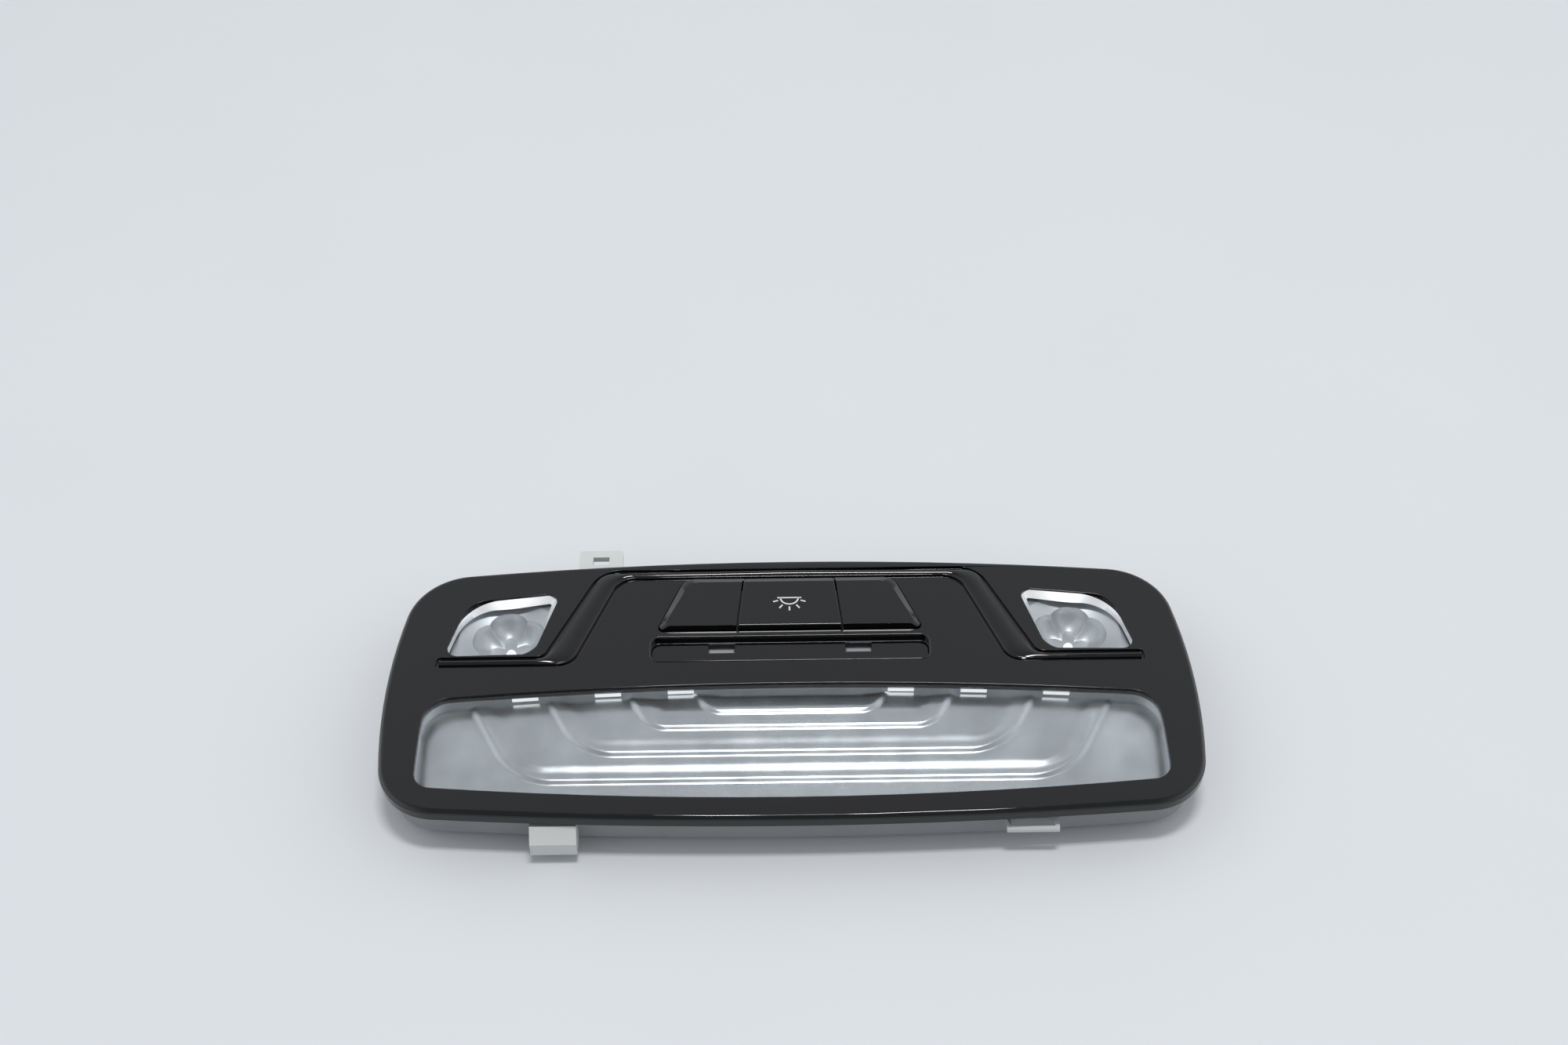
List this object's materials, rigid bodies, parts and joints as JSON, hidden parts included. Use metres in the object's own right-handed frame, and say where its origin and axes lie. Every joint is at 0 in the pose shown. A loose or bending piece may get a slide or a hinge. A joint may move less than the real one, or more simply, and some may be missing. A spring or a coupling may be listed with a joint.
{
  "type": "car interior light",
  "caption": "Overhead interior lamp with a gloss bezel, a wide lens over a terraced reflector, reading lamps and a row of push buttons.",
  "frame": {"origin": "middle of the flat back of the housing", "axes": "+X along the lamp, +Y to the rear edge with the connector, +Z out of the face"},
  "size_m": [0.216, 0.0997, 0.0171],
  "materials": {
    "bezel_gloss": "polished black moulding",
    "housing_grey": "light grey moulding, fine satin",
    "clear_lens": "clear polycarbonate",
    "metallised": "vacuum metallised plastic",
    "button_gloss": "polished black caps",
    "carrier_grey": "pale grey moulding",
    "board_green": "solder mask",
    "strip_white": "white film",
    "lamp_package": "white package with phosphor",
    "switch_black": "moulded",
    "plunger_white": "moulded",
    "header_black": "moulded",
    "pin_metal": "tinned",
    "screw_steel": "zinc plated"
  },
  "bodies": {
    "lamp": {"bezel": "bezel_gloss", "housing": "housing_grey", "main_lens": "clear_lens", "reading_lens_left": "clear_lens", "reading_lens_right": "clear_lens", "main_reflector": "metallised", "reading_reflector_left": "metallised", "reading_reflector_right": "metallised", "button_carrier": "carrier_grey", "circuit_board": "board_green", "led_strip": "strip_white", "main_leds": "lamp_package", "reading_led_left": "lamp_package", "reading_led_right": "lamp_package", "switch_body_left": "switch_black", "switch_body_centre": "switch_black", "switch_body_right": "switch_black", "connector_header": "header_black", "connector_pins": "pin_metal", "housing_screws": "screw_steel"},
    "left_button": {"button_left": "button_gloss", "switch_plunger_left": "plunger_white"},
    "centre_button": {"button_centre": "button_gloss", "switch_plunger_centre": "plunger_white"},
    "right_button": {"button_right": "button_gloss", "switch_plunger_right": "plunger_white"}
  },
  "joints": [
    {"name": "left_button_press", "type": "slide", "parent": "lamp", "child": "left_button", "axis": [0, 0, -1], "range_m": [0, 0.001], "stiffness_N_per_m": 1500},
    {"name": "centre_button_press", "type": "slide", "parent": "lamp", "child": "centre_button", "axis": [0, 0, -1], "range_m": [0, 0.001], "stiffness_N_per_m": 1500},
    {"name": "right_button_press", "type": "slide", "parent": "lamp", "child": "right_button", "axis": [0, 0, -1], "range_m": [0, 0.001], "stiffness_N_per_m": 1500}
  ]
}
